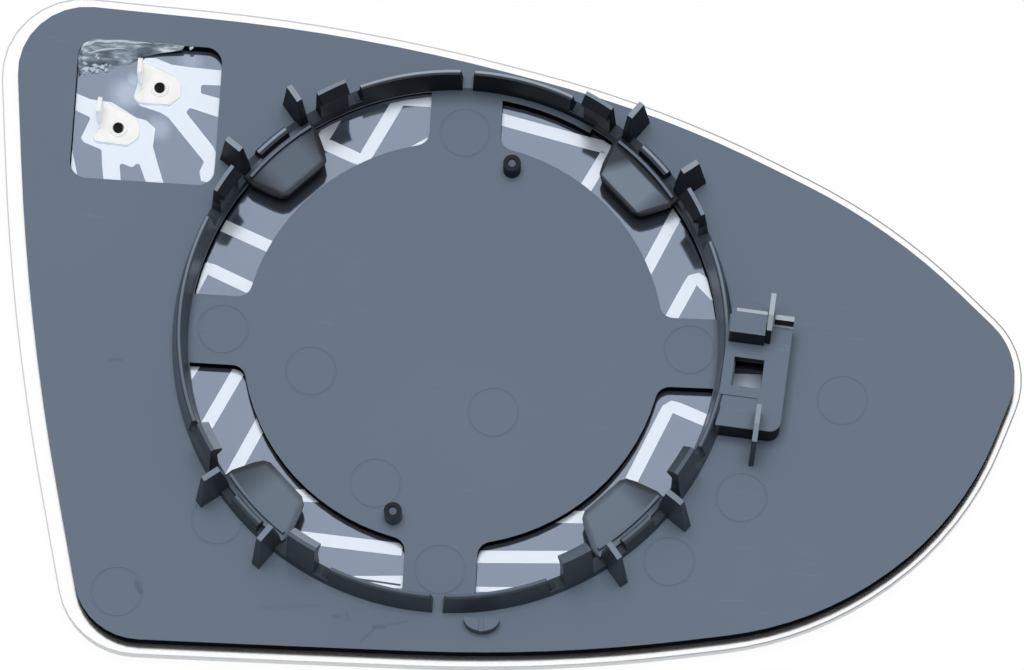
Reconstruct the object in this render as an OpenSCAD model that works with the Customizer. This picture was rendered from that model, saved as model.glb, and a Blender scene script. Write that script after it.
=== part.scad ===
// Heated door mirror glass with its clip-on back plate, millimetres.
// It lies glass face down. The origin is on the adjuster ring's axis, at the plate's back face,
// +Z points out of the back, +X towards the pointed end and +Y towards the straight top edge.

/* [Mirror glass] */
// Ring axis to the left edge of the glass
glass_left = 84.5; // [76:0.5:95]
// Ring axis to the pointed right end, before its corner is rounded
glass_right = 102; // [90:0.5:115]
// Ring axis to the top edge
glass_top = 61; // [57:0.5:72]
// Ring axis to the bottom edge
glass_bottom = 59; // [57:0.5:70]
// Thickness of the glass
glass_t = 2; // [1.5:0.1:4]
// Radius of the convex mirror's curve, at the plate's back face
curve_r = 1260; // [900:10:2000]
// Corner radius at the top left
corner_top_left = 14.5; // [6:0.5:24]
// Corner radius at the pointed right end
corner_tip = 15.5; // [6:0.5:24]
// Corner radius at the bottom left
corner_bottom_left = 14; // [6:0.5:24]

/* [Heater foil] */
// Thickness of the heater foil between the glass and the plate
foil_t = 0.4; // [0.3:0.05:1]

/* [Terminals] */
// Width of a terminal's foot
foot_w = 7.9; // [7:0.1:8.2]
// Length of a terminal's foot
foot_l = 7.4; // [6.5:0.1:8.2]
// Sheet thickness of the terminals
sheet_t = 0.8; // [0.5:0.1:1]
// Diameter of the eyelet hole through a terminal
eyelet_d = 2; // [1.2:0.1:3]
// Width of the spade blade
spade_w = 2.8; // [2.4:0.1:3.2]
// Height of the spade blade above its foot
spade_h = 7; // [5:0.5:9]

/* [Back plate] */
// Thickness of the back plate
plate_t = 2.5; // [1.8:0.1:3.5]
// Margin of bare glass round the plate
plate_inset = 2.3; // [1.5:0.1:4]
// Shift of the plate towards the pointed end
plate_shift = 0.8; // [-0.5:0.1:1.2]
// Shift of the plate towards the bottom edge
plate_drop = 0.2; // [-0.5:0.1:0.8]
// Width of the four ring windows, from the ring's rim to the disc inside them
disc_gap = 11.3; // [10.6:0.1:13]
// Width of the four bridges that carry the disc
bridge_w = 12.6; // [8:0.2:16]
// Corner radius of the ring windows
window_corner_r = 2.5; // [1:0.1:3.5]
// Side of the square window for the terminals
connector_w = 25.5; // [24:0.5:27]
// Corner radius of the terminal window
connector_corner_r = 3; // [1:0.5:5]

/* [Adjuster ring] */
// Outer radius of the ring at its rim
ring_r = 48.1; // [47.8:0.1:49]
// Wall thickness at the rim
ring_t = 0.9; // [0.7:0.1:1.4]
// Height of the rim of the four long arcs
ring_h = 7; // [5:0.5:8.5]
// Height of the low wall between the arcs and the clips
sill_h = 2.6; // [2:0.1:3]
// Height of the wall behind each flap
guard_h = 5.5; // [4.4:0.1:6.5]
// Spread of the ring's wall from rim to foot, outside and inside
draft = 1; // [0.4:0.1:1.1]
// Width of the slits in the ring at its foot
slit_w = 1.8; // [1:0.1:3]
// Height of the snap hooks
hook_h = 14.3; // [11:0.1:17]
// Reach of a snap hook's lip inside its wall
lip_reach = 1.6; // [1:0.1:2]
// Height of the stop fins
fin_h = 14; // [10:0.5:17]
// Thickness of the stop fins at their top
fin_t = 1; // [0.8:0.1:1.4]
// Reach of a fin beyond the ring's rim at its top
fin_reach = 3.3; // [2.6:0.1:4.6]
// Height of the flaps' upper face
flap_h = 3.6; // [3.4:0.1:4]
// Thickness of the flaps
flap_t = 1.3; // [1:0.1:1.6]
// Reach of a flap from the ring's rim towards the disc
flap_reach = 9.4; // [8:0.1:10]
// Diameter of the two locating pins
pin_d = 3.1; // [2:0.1:4]
// Height of the two locating pins
pin_h = 4.4; // [3:0.1:8]
// Distance of the locating pins inside the disc's edge
pin_inset = 3.5; // [2.5:0.1:6]

/* [Side bracket] */
// Height of the bracket's panel
panel_h = 7.5; // [6.5:0.5:9]
// Wall thickness of the bracket
panel_t = 1.3; // [1:0.1:1.8]
// Side of the square hole in the panel
socket_w = 5.2; // [4.6:0.1:5.6]
// Height of the raised block and of the two blades on the bracket
blade_h = 14; // [12:0.5:16]
// Thickness of the two blades
blade_t = 0.9; // [0.7:0.1:1.2]

/* [Hidden] */
steps = 8;
dome_fn = 256;
ring_fn = 180;
soft_fn = 48;
window_fn = 80;

// Control points of the outline as shares of the four reaches, and the three tight corners
outline_shares = [[-1, 1], [-0.24, 0.96], [0.34, 0.76], [0.75, 0.43], [1, 0.03],
    [0.89, -0.5], [0.64, -0.85], [0.19, -0.98], [-0.745, -1], [-0.92, 0]];
tight_corners = [[0, corner_top_left], [4, corner_tip], [8, corner_bottom_left]];

// Depths below the plate's back face
foil_top = plate_t;
glass_top_depth = plate_t + foil_t;
glass_bottom_depth = glass_top_depth + glass_t;

// Ring wall, window and clip places that follow from the ring
wall_in = ring_r - ring_t;
foot_in = wall_in - 0.8 * draft;
foot_out = ring_r + draft;
window_out = foot_in - 0.15;
disc_r = ring_r - disc_gap;
flap_r = ring_r - flap_reach;
fin_r = ring_r + fin_reach;
pin_r = disc_r - pin_inset;
face_z = ring_r ^ 2 / (2 * curve_r);
root_z = -0.8;
above = 5 * plate_t;
below = -6 * plate_t;
slit_flare = 0.9;
web_w = 1.5;
web_t = 1.6;
web_root = 0.3;
ledge_w = 0.9;
ledge_span = [61, 85];
quarters = [45, 135, 225, 315];
fin_angle = 8.1;
hook_angle = 15.3;
hook_span = 6.6;
guard_angle = 3.9;
clip_angle = 22;
hook_rake = 0.4;
hook_tip_t = 0.7;
hook_waist = 0.5;
lead_in_h = 1.7;
lip_t = 1;
lip_root_h = 1.3;
fin_foot_r = fin_r + 2;
fin_foot_t = fin_t + 0.7;
fin_inner_step = 0.4;
flap_edge = [[0, 4.1], [0.6, 5.2], [2.1, 6.1], [5.8, 7.6]];
flap_w = 15.6;
upstand_w = 14;
upstand_t = 0.5;
upstand_h = 1.1;
groove_w = 1;
pin_angle = 75;
pin_dimple_d = 1.6;
pin_dimple = 0.3;
mark_r = 4.5;
mark_w = 0.3;
mark_depth = 0.07;
// Places of the ejector marks as shares of the ring's radius
marks = [[0, 0.8], [1.07, -0.54], [0.82, -0.79], [0.16, -0.26], [0, -0.86], [-0.84, 0],
    [0.86, 0.01], [-0.51, -0.14], [-0.25, -0.55], [1.42, -0.16], [-0.81, -0.72], [-1.15, -1.01]];

// Terminal window and the eyelets' places in it
connector_at = [-56.5, 39];
upper_eyelet = connector_at + [1.9, 5.3];
lower_eyelet = connector_at - [4.9, 2.6];
upper_turn = 0;
lower_turn = -4;
foot_t = 0.6;
foot_lift = 0.02;
foot_top_depth = foil_top - foot_lift;
// Corners of a foot from its eyelet, as shares of its width and length
foot_corners = [[-0.4, 0.58], [-0.36, 0.61], [0.36, 0.3], [0.47, 0.18], [0.48, -0.16],
    [0.25, -0.4], [-0.45, -0.4], [-0.52, -0.34], [-0.52, -0.24], [-0.4, -0.04]];
collar_t = 0.3;
collar_w = 0.6;
lip_rise = 0.3;
lip_w = 0.5;
spade_y = 2.1;
spade_nick = 0.3;
spade_root = 0.6;

// Bracket: its place, its turn, and the rest in its own frame
bracket_at = [ring_r + 4.9, -5];
bracket_turn = -5;
panel_from = [-5.9, -10.2];
panel_to = [5.3, 10];
panel_corner_r = 1.9;
ledge_from = -4.6;
ledge_depth = 0.25;
block_from = [-5.6, 5];
block_to = [0.6, 9.4];
block_drop = 0.5;
socket_at = [-1.5, -0.2];
blade_x = 1.2;
blade_y = [9.3, -10.8];
blade_l = 6.8;
blade_foot = 1;
tab_from = 2;
tab_h = 3.1;

// Lug on the strip of plate under the ring, at a share of the strip's width
lug_w = 6.2;
lug_d = 2.3;
lug_h = 3.7;
lug_share = 0.3;
lug_at = [0.16 * ring_r,
    lug_d / 2 - foot_out - lug_share * (glass_bottom - plate_inset - foot_out)];
lug_dip_w = 0.9;
lug_dip = 0.35;

function reach(s) = [s[0] * (s[0] < 0 ? glass_left : glass_right),
    s[1] * (s[1] < 0 ? glass_bottom : glass_top)];
function wanted_r(i) = let (found = [for (c = tight_corners) if (c[0] == i) c[1]])
    len(found) > 0 ? found[0] : 1e5;

// One rounded corner of a polygon: an arc that touches both sides, moved inwards by inset
function corner_arc(before, p, after, r_wanted, inset) = let (
    a = norm(before - p), b = norm(after - p),
    u = (before - p) / a, v = (after - p) / b,
    half = acos(u * v) / 2,
    r = min(r_wanted, 0.49 * min(a, b) * tan(half)),
    centre = p + (u + v) / norm(u + v) * r / sin(half),
    from = p + u * r / tan(half) - centre, to = p + v * r / tan(half) - centre,
    start = atan2(from[1], from[0]),
    turn = (atan2(to[1], to[0]) - start + 540) % 360 - 180)
    [for (k = [0:steps]) let (w = start + turn * k / steps)
        centre + (r - inset) * [cos(w), sin(w)]];

// Outline of the glass, or of what lies inside it by inset
function outline(inset) = let (n = len(outline_shares))
    [for (i = [0:n - 1]) each corner_arc(
        reach(outline_shares[(i + n - 1) % n]), reach(outline_shares[i]),
        reach(outline_shares[(i + 1) % n]), wanted_r(i), inset)];

// Space between two depths below the back face, curved as the mirror is
module layer(top, bottom) {
    translate([0, 0, curve_r]) rotate([90, 0, 0]) difference() {
        sphere(r = curve_r + bottom, $fn = dome_fn);
        sphere(r = curve_r + top, $fn = dome_fn);
    }
}

// A flat shape cut out of that layer
module curved_sheet(top, bottom) {
    intersection() {
        translate([0, 0, below]) linear_extrude(above - below) children();
        layer(top, bottom);
    }
}

// Places its children upright on the curved face at a depth
module on_face(at, depth) {
    reach_r = curve_r + depth;
    translate([0, 0, curve_r])
        rotate([asin(at[1] / reach_r), -atan2(at[0], sqrt(reach_r ^ 2 - norm(at) ^ 2)), 0])
            translate([0, 0, -reach_r]) children();
}

module plate_outline() {
    translate([plate_shift, -plate_drop]) polygon(outline(plate_inset));
}

module rounded_box(size, r) {
    for (t = [0, 90]) rotate(t)
        square(t == 0 ? [size[0], size[1] - 2 * r] : [size[1], size[0] - 2 * r], center = true);
    for (x = [-1, 1], y = [-1, 1])
        translate([x * (size[0] / 2 - r), y * (size[1] / 2 - r)]) circle(r, $fn = soft_fn);
}

// The four windows between the disc and the ring, rounded at the disc and square at the ring
module ring_windows() {
    intersection() {
        polygon([for (i = [1:window_fn]) let (w = 360 * i / window_fn) window_out * [cos(w), sin(w)]]);
        offset(window_corner_r, $fn = 24) offset(-window_corner_r) difference() {
            circle(window_out + 2 * window_corner_r, $fn = window_fn);
            circle(disc_r, $fn = window_fn);
            square([3 * ring_r, bridge_w], center = true);
            square([bridge_w, 3 * ring_r], center = true);
        }
    }
}

// Narrow ledge that stays before the ring's wall in one of the windows
module window_ledge() {
    bend = [for (k = [0:6]) ledge_span[0] + (ledge_span[1] - ledge_span[0]) * k / 6];
    polygon([for (w = bend) (window_out - ledge_w) * [cos(w), sin(w)],
        for (i = [6:-1:0]) foot_out * [cos(bend[i]), sin(bend[i])]]);
}

module connector_window() {
    translate(connector_at) rounded_box([connector_w, connector_w], connector_corner_r);
}

module sector(middle, half) {
    far = 1.3 * foot_out;
    polygon([[0, 0], for (k = [-1:1]) far * [cos(middle + k * half), sin(middle + k * half)]]);
}

// The ring's wall, drafted on both faces, lowered between its four long arcs and slit twice
module ring() {
    difference() {
        rotate_extrude($fn = ring_fn) polygon([
            [foot_in, root_z], [foot_out, root_z], [foot_out, face_z],
            [ring_r, ring_h], [wall_in, ring_h], [foot_in, face_z]]);
        translate([0, 0, guard_h]) linear_extrude(ring_h)
            for (q = quarters) sector(q, clip_angle);
        translate([0, 0, sill_h]) linear_extrude(ring_h) difference() {
            for (q = quarters) sector(q, clip_angle);
            for (q = quarters) sector(q, guard_angle);
        }
        for (a = [90, 270]) rotate(a) slit();
    }
    for (q = quarters, s = [-1, 1]) rotate(q + s * clip_angle) end_web(s);
}

// Web in the foot of an arc's end, towards the low wall beside it
module end_web(side) {
    rotate([90, 0, 90]) translate([0, 0, (wall_in + ring_r - web_t) / 2]) linear_extrude(web_t)
        polygon([[web_root * side, sill_h - web_w], [-web_w * side, sill_h - web_w],
            [-web_w * side, sill_h], [-0.35 * web_w * side, sill_h + 0.3 * web_w],
            [0, sill_h + web_w], [web_root * side, sill_h + web_w]]);
}

// Slit in the ring, wider at the rim than at the foot
module slit() {
    foot = slit_w / 2;
    rim = foot + slit_flare / 2;
    rotate([90, 0, 90]) translate([0, 0, foot_in - 1]) linear_extrude(2 * draft + ring_t + 2)
        polygon([[-foot, face_z], [foot, face_z], [rim, ring_h + 1], [-rim, ring_h + 1]]);
}

// Snap hook: an upright wall with a lip that reaches inwards under a sloped lead-in
module snap_hook() {
    lip_in = wall_in - lip_reach;
    rotate(-hook_span / 2) rotate_extrude(angle = hook_span, $fn = ring_fn) polygon([
        [foot_in, root_z], [foot_out, root_z], [ring_r - hook_rake, hook_h],
        [ring_r - hook_rake - hook_tip_t, hook_h], [lip_in, hook_h - lead_in_h],
        [lip_in, hook_h - lead_in_h - lip_t],
        [wall_in - hook_waist, hook_h - lead_in_h - lip_t - lip_root_h],
        [wall_in - hook_waist, sill_h]]);
}

// Stop fin: a thin radial blade whose foot is longer and thicker than its top
module stop_fin() {
    intersection() {
        rotate([90, 0, 0]) translate([0, 0, -fin_foot_t]) linear_extrude(2 * fin_foot_t) polygon([
            [foot_in + fin_inner_step, root_z], [fin_foot_r, root_z], [fin_r, fin_h],
            [ring_r, fin_h], [wall_in, ring_h]]);
        rotate([90, 0, 90]) linear_extrude(2 * ring_r) polygon([
            [-fin_foot_t / 2, root_z], [fin_foot_t / 2, root_z],
            [fin_t / 2, fin_h], [-fin_t / 2, fin_h]]);
    }
}

// Flap: a panel over the window with an upstand before its outer edge
module flap() {
    half = [for (p = flap_edge) [flap_r + p[0], p[1]], [wall_in, flap_w / 2]];
    last = len(half) - 1;
    translate([0, 0, flap_h - flap_t]) linear_extrude(flap_t) intersection() {
        polygon([for (p = half) p, for (i = [last:-1:0]) [half[i][0], -half[i][1]]]);
        circle(wall_in, $fn = ring_fn);
    }
    translate([0, 0, flap_h - flap_t / 2]) linear_extrude(flap_t / 2 + upstand_h) intersection() {
        difference() {
            circle(wall_in - groove_w, $fn = ring_fn);
            circle(wall_in - groove_w - upstand_t, $fn = ring_fn);
        }
        translate([0, -upstand_w / 2]) square([ring_r, upstand_w]);
    }
}

// Locating pin with a shallow dimple in its top
module locating_pin() {
    difference() {
        translate([0, 0, root_z]) cylinder(d = pin_d, h = pin_h - root_z, $fn = soft_fn);
        translate([0, 0, pin_h - pin_dimple])
            cylinder(d = pin_dimple_d, h = pin_h, $fn = soft_fn);
    }
}

module blade(y) {
    foot = blade_l / 2 + blade_foot;
    translate([blade_x - blade_t / 2, y, 0]) rotate([90, 0, 90]) linear_extrude(blade_t)
        polygon([[-foot, root_z], [foot, root_z], [blade_l / 2, blade_h], [-blade_l / 2, blade_h]]);
}

module in_bracket() {
    translate(bracket_at) rotate(bracket_turn) children();
}

module panel_shape(wall) {
    size = panel_to - panel_from - 2 * wall * [1, 1];
    translate(panel_from + wall * [1, 1]) difference() {
        square(size);
        translate([size[0] - panel_corner_r, 0]) difference() {
            square(panel_corner_r);
            translate([0, panel_corner_r]) circle(panel_corner_r, $fn = soft_fn);
        }
    }
}

// Side bracket: a raised hollow panel, a higher block, a tab and two blades
module bracket() {
    in_bracket() {
        translate([0, 0, root_z]) linear_extrude(panel_h - root_z) panel_shape(0);
        translate([block_from[0], block_from[1], root_z])
            cube(concat(block_to - block_from, blade_h - block_drop - root_z));
        translate([tab_from, panel_to[1] - blade_t, root_z])
            cube([panel_to[0] - tab_from, blade_t, panel_h + tab_h - root_z]);
        for (y = blade_y) blade(y);
    }
}

// Room inside the bracket, open through the plate, and the square socket over it
module bracket_core() {
    translate([0, 0, below]) linear_extrude(panel_h - panel_t - below) difference() {
        in_bracket() panel_shape(panel_t);
        in_bracket() translate(block_from - panel_t * [1, 1]) square(blade_h);
        circle(foot_out + 0.3, $fn = ring_fn);
    }
    in_bracket() {
        translate([socket_at[0], socket_at[1], panel_h])
            cube([socket_w, socket_w, 4 * panel_t], center = true);
        translate([panel_from[0], panel_from[1] - panel_t, panel_h - ledge_depth])
            cube([blade_x - blade_t / 2 - panel_from[0], ledge_from + panel_t - panel_from[1], panel_t]);
    }
}

// Half-oval lug with a dip across its middle
module lug() {
    translate([lug_at[0], lug_at[1], root_z]) difference() {
        linear_extrude(lug_h - root_z)
            polygon([for (a = [180:15:360]) [lug_w / 2 * cos(a), lug_d * sin(a)]]);
        translate([-lug_dip_w / 2, -2 * lug_d, lug_h - root_z - lug_dip])
            cube([lug_dip_w, 3 * lug_d, lug_h]);
    }
}

module mark_rings() {
    for (m = marks) translate(ring_r * m) difference() {
        circle(mark_r, $fn = soft_fn);
        circle(mark_r - mark_w, $fn = soft_fn);
    }
}

module back_plate() {
    color([0.41, 0.46, 0.52]) difference() {
        union() {
            difference() {
                curved_sheet(0, plate_t) plate_outline();
                translate([0, 0, below]) linear_extrude(above - below) {
                    difference() {
                        ring_windows();
                        window_ledge();
                    }
                    connector_window();
                }
            }
            ring();
            for (q = quarters) rotate(q) {
                flap();
                for (s = [-1, 1]) {
                    rotate(s * hook_angle) snap_hook();
                    rotate(s * fin_angle) stop_fin();
                }
            }
            for (a = [pin_angle, pin_angle + 180])
                rotate(a) translate([pin_r, 0, 0]) locating_pin();
            bracket();
            lug();
        }
        bracket_core();
        curved_sheet(-1, mark_depth) mark_rings();
    }
}

module mirror_glass() {
    color([0.86, 0.89, 0.92]) curved_sheet(glass_top_depth, glass_bottom_depth)
        polygon(outline(0));
}

module heater_foil() {
    color([0.56, 0.61, 0.67]) curved_sheet(foil_top, foil_top + foil_t) difference() {
        plate_outline();
        for (at = [upper_eyelet, lower_eyelet]) translate(at) circle(d = eyelet_d, $fn = soft_fn);
    }
}

// Stamped terminal: a flat foot with a lip along its lower edge, a collar round its eyelet, a blade
module terminal(at, turn) {
    foot = [for (c = foot_corners) [c[0] * foot_w, c[1] * foot_l]];
    left = foot[0][0];
    lip_from = foot[6];
    blade_from = [left - sheet_t, spade_y - spade_w / 2, 0];
    on_face(at, foot_top_depth) rotate(turn) difference() {
        union() {
            linear_extrude(foot_t) polygon(foot);
            translate([lip_from[0], lip_from[1], foot_t / 2])
                cube([foot[5][0] - lip_from[0], lip_w, foot_t / 2 + lip_rise]);
            cylinder(d = eyelet_d + 2 * collar_w, h = foot_t + collar_t, $fn = soft_fn);
            translate(blade_from) cube([sheet_t + spade_root, spade_w, foot_t]);
            translate(blade_from) rotate([90, 0, 90]) linear_extrude(sheet_t) polygon([
                [0, 0], [spade_w, 0], [spade_w, spade_h - spade_nick],
                [spade_w - spade_nick, spade_h], [spade_nick, spade_h], [0, spade_h - spade_nick]]);
        }
        translate([0, 0, -foot_t]) cylinder(d = eyelet_d, h = 4 * foot_t, $fn = soft_fn);
    }
}

module terminal_upper() {
    color([0.93, 0.93, 0.9]) terminal(upper_eyelet, upper_turn);
}

module terminal_lower() {
    color([0.93, 0.93, 0.9]) terminal(lower_eyelet, lower_turn);
}

mirror_glass();
heater_foil();
terminal_upper();
terminal_lower();
back_plate();
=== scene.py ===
import math

import bmesh
import bpy
from mathutils import Matrix, Vector, noise


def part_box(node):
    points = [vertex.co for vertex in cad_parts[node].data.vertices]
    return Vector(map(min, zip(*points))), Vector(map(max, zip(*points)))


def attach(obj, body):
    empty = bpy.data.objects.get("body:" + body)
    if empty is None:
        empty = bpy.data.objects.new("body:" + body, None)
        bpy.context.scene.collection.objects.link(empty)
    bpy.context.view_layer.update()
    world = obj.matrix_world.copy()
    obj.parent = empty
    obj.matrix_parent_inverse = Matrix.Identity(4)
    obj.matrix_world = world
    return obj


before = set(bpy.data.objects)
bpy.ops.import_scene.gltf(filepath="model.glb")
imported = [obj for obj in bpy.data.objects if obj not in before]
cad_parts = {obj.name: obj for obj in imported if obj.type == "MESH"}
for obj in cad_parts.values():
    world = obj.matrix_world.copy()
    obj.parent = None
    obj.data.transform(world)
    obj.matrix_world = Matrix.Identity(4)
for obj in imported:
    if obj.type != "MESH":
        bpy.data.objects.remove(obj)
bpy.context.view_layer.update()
print("frame loaded:", sorted(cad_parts))

mm = 0.001
curveRadius = 1260 * mm  # the mirror's curve, which every layer follows


class Wire:
    # A socket that can stand in a sum; numbers may stand on either side
    def __init__(self, paint, socket):
        self.paint = paint
        self.socket = socket

    def calc(self, kind, a, b=None):
        return self.paint.add("ShaderNodeMath", {"operation": kind},
                              {0: a} if b is None else {0: a, 1: b})

    def __add__(self, other): return self.calc("ADD", self, other)
    def __radd__(self, other): return self.calc("ADD", other, self)
    def __sub__(self, other): return self.calc("SUBTRACT", self, other)
    def __rsub__(self, other): return self.calc("SUBTRACT", other, self)
    def __mul__(self, other): return self.calc("MULTIPLY", self, other)
    def __rmul__(self, other): return self.calc("MULTIPLY", other, self)
    def __truediv__(self, other): return self.calc("DIVIDE", self, other)
    def __pow__(self, other): return self.calc("POWER", self, other)
    def __gt__(self, other): return self.calc("GREATER_THAN", self, other)
    def __lt__(self, other): return self.calc("LESS_THAN", self, other)
    def __abs__(self): return self.calc("ABSOLUTE", self)

    def near(self, middle, half):
        # 1 where the value is within half of the middle
        return abs(self - middle) < half

    def to(self, other, share):
        # This value, changed into the other one by a share
        return self + (other - self) * share


class Paint:
    # One material and the short ways to add nodes to it
    def __init__(self, name):
        self.material = bpy.data.materials.new(name)
        self.material.use_nodes = True
        self.tree = self.material.node_tree
        self.tree.nodes.clear()
        self.out = self.tree.nodes.new("ShaderNodeOutputMaterial")
        coords = self.tree.nodes.new("ShaderNodeTexCoord")
        self.place = Wire(self, coords.outputs["Object"])
        self.facing = Wire(self, coords.outputs["Normal"])

    def add(self, kind, settings=None, values=None, out=0):
        node = self.tree.nodes.new(kind)
        for key, value in (settings or {}).items():
            if key == "stops":
                ramp = node.color_ramp
                while len(ramp.elements) < len(value):
                    ramp.elements.new(0.5)
                for element, (at, colour) in zip(ramp.elements, value):
                    element.position = at
                    element.color = colour
            else:
                setattr(node, key, value)
        for key, value in (values or {}).items():
            if isinstance(value, Wire):
                self.tree.links.new(value.socket, node.inputs[key])
            else:
                node.inputs[key].default_value = value
        return Wire(self, node.outputs[out])

    def axes(self, vector=None):
        node = self.tree.nodes.new("ShaderNodeSeparateXYZ")
        self.tree.links.new((vector or self.place).socket, node.inputs[0])
        return [Wire(self, o) for o in node.outputs]

    def stretched(self, x, y, z):
        return self.add("ShaderNodeVectorMath", {"operation": "MULTIPLY"},
                        {0: self.place, 1: (x, y, z)})

    def noise(self, size, detail=3.0, rough=0.5, at=None):
        return self.add("ShaderNodeTexNoise", {},
                        {"Vector": at or self.place, "Scale": 1 / size, "Detail": detail,
                         "Roughness": rough})

    def ease(self, value, low, high):
        # 0 below low, 1 above high, smooth between
        return self.add("ShaderNodeMapRange", {"interpolation_type": "SMOOTHSTEP"},
                        {"Value": value, "From Min": low, "From Max": high})

    def blend(self, share, a, b):
        return self.add("ShaderNodeMix", {"data_type": "RGBA"}, {0: share, 6: a, 7: b}, out=2)

    def bump(self, height, distance, strength=1.0, normal=None):
        values = {"Height": height, "Distance": distance, "Strength": strength}
        if normal is not None:
            values["Normal"] = normal
        return self.add("ShaderNodeBump", {}, values)

    def bevel(self, radius):
        return self.add("ShaderNodeBevel", {"samples": 6}, {"Radius": radius})

    def dull(self, colour):
        return self.add("ShaderNodeBsdfDiffuse", {}, {"Color": colour})

    def mixed(self, share, a, b):
        return self.add("ShaderNodeMixShader", {}, {0: share, 1: a, 2: b})

    def show(self, shader):
        self.tree.links.new(shader.socket, self.out.inputs["Surface"])
        return self.material

    def surface(self, **values):
        return self.add("ShaderNodeBsdfPrincipled", {},
                        {key.replace("_", " "): value for key, value in values.items()})


def srgb(r, g, b):
    def linear(c):
        c /= 255
        return c / 12.92 if c <= 0.04045 else ((c + 0.055) / 1.055) ** 2.4
    return (linear(r), linear(g), linear(b), 1.0)


def added(name, data):
    # A new object in the scene
    thing = bpy.data.objects.new(name, data)
    bpy.context.scene.collection.objects.link(thing)
    return thing


# Angles in degrees; focal length, size and the origin's place in pixels of the picture;
# the sensor in mm; how far the camera stands and sees in metres
view = {"azimuth": 3.0, "elevation": 73.1, "distance": 1.0, "focal": 5714.0,
        "width": 1024, "height": 670, "originX": 453.2, "originY": 342.4,
        "sensor": 36, "near": 0.05, "far": 20}


def placeCamera():
    az, el = math.radians(view["azimuth"]), math.radians(view["elevation"])
    right = Vector((math.cos(az), math.sin(az), 0))
    ahead = Vector((-math.sin(az) * math.cos(el), math.cos(az) * math.cos(el), -math.sin(el)))
    up = right.cross(ahead)
    aside = (view["originX"] - view["width"] / 2) / view["focal"]
    above = (view["height"] / 2 - view["originY"]) / view["focal"]
    at = -(ahead + right * aside + up * above) * view["distance"]
    data = bpy.data.cameras.new("camera")
    data.lens = view["focal"] * view["sensor"] / view["width"]
    data.sensor_width = view["sensor"]
    data.clip_start = view["near"]
    data.clip_end = view["far"]
    camera = added("camera", data)
    turn = Matrix((right, up, -ahead)).transposed().to_4x4()
    camera.matrix_world = Matrix.Translation(at) @ turn
    bpy.context.scene.camera = camera


placeCamera()
print("camera placed")

light = {"keyPower": 22.0, "keySize": 0.8, "keyPlace": (0.0, 0.1, 1.6), "worldDiffuse": 0.13,
         "floorHalf": 1.6, "floorGap": 0.02 * mm, "floorGrey": 0.9, "floorGlow": 0.96}


def lightScene():
    data = bpy.data.lights.new("softbox", "AREA")
    data.shape = "SQUARE"
    data.size = light["keySize"]
    data.energy = light["keyPower"]
    lamp = added("softbox", data)
    lamp.location = light["keyPlace"]
    lamp.visible_glossy = False
    world = bpy.data.worlds.new("studio")
    bpy.context.scene.world = world
    world.use_nodes = True
    tree = world.node_tree
    # White where the camera or a shine looks at it, and much weaker as a light
    path = tree.nodes.new("ShaderNodeLightPath")
    seen = path.outputs["Is Camera Ray"]
    for kind in ("Is Glossy Ray", "Is Transmission Ray"):
        either = tree.nodes.new("ShaderNodeMath")
        either.operation = "MAXIMUM"
        tree.links.new(seen, either.inputs[0])
        tree.links.new(path.outputs[kind], either.inputs[1])
        seen = either.outputs[0]
    level = tree.nodes.new("ShaderNodeMapRange")
    level.inputs["To Min"].default_value = light["worldDiffuse"]
    level.inputs["To Max"].default_value = 1.0
    tree.links.new(seen, level.inputs["Value"])
    back = tree.nodes["Background"]
    back.inputs["Color"].default_value = (1, 1, 1, 1)
    tree.links.new(level.outputs[0], back.inputs["Strength"])


def makeFloor(z):
    mesh = bpy.data.meshes.new("floor")
    half = light["floorHalf"]
    mesh.from_pydata([(-half, -half, z), (half, -half, z), (half, half, z), (-half, half, z)],
                     [], [(0, 1, 2, 3)])
    floor = added("floor", mesh)
    paint = Paint("floorWhite")
    grey = light["floorGrey"]
    matt = paint.dull((grey, grey, grey, 1))
    glow = paint.add("ShaderNodeEmission", {}, {"Color": (1, 1, 1, 1), "Strength": 1.0})
    path = paint.tree.nodes.new("ShaderNodeLightPath")
    seen = paint.add("ShaderNodeMath", {"operation": "MAXIMUM"},
                     {0: Wire(paint, path.outputs["Is Camera Ray"]),
                      1: Wire(paint, path.outputs["Is Glossy Ray"])})
    mesh.materials.append(paint.show(paint.mixed(seen * light["floorGlow"], matt, glow)))


lightScene()
makeFloor(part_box("mirror_glass")[0][2] - light["floorGap"])
print("light and floor placed")


# Grey levels of the moulding, from 0 to 255, go through one ramp of its cool greys
greys = [(20, (16, 20, 25)), (60, (52, 60, 69)), (117, (104, 117, 133)), (158, (147, 158, 171)),
         (210, (203, 211, 220)), (250, (246, 250, 253))]

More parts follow.
